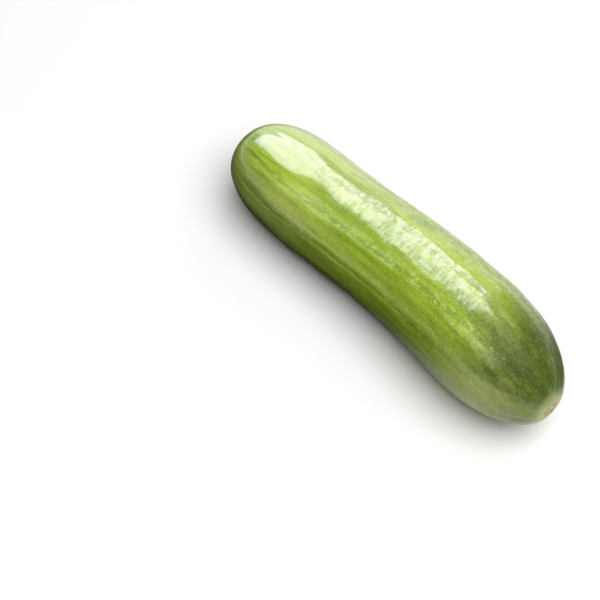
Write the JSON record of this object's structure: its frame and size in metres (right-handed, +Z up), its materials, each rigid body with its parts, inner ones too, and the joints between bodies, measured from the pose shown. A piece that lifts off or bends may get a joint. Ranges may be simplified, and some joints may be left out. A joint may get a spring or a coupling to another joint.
{
  "type": "cucumber",
  "caption": "Whole mini cucumber lying on its side: a slightly bowed, softly lobed fruit with blunt rounded ends and a small puckered scar at each end.",
  "frame": {"origin": "on the surface that the fruit lies on, under the centre of its bounding box", "axes": "+X along the fruit from the blossom end to the stem end, +Z up, +Y sideways towards the outside of its bow"},
  "size_m": [0.1496, 0.0424, 0.0406],
  "materials": {
    "skin": "smooth waxy green vegetable skin with pale lengthwise streaks, glossy along the body and duller at the stem end"
  },
  "bodies": {
    "root": {"cucumber": "skin"}
  },
  "joints": []
}
